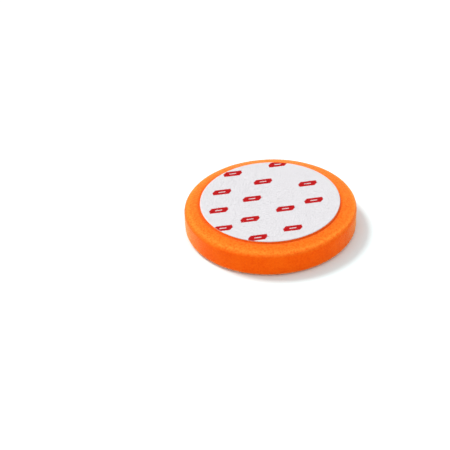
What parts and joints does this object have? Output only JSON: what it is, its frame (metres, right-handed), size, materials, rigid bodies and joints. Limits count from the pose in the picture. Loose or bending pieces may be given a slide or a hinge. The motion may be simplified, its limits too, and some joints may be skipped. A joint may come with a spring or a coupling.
{
  "type": "foam polishing pad",
  "caption": "Flat round foam polishing pad with a rounded working edge, a bevelled back and a smaller loop-fastener disc bonded on for a backing plate.",
  "frame": {"origin": "centre of the flat working face, on the surface that the pad lies on", "axes": "+Z along the pad's axis, from the foam's working face to the loop backing that a backing plate grips; +X and +Y in the plane of the disc"},
  "size_m": [0.15, 0.15, 0.027],
  "materials": {
    "foam": "open-cell polyurethane foam, cut surface, matt orange",
    "bond_film": "clear hot-melt film, satin",
    "base_cloth": "fine warp-knitted nylon, white",
    "loop_pile": "brushed nylon loops, white with small plain red printed marks"
  },
  "bodies": {
    "root": {"foam_disc": "foam", "bond_film": "bond_film", "base_cloth": "base_cloth", "loop_pile": "loop_pile"}
  },
  "joints": []
}
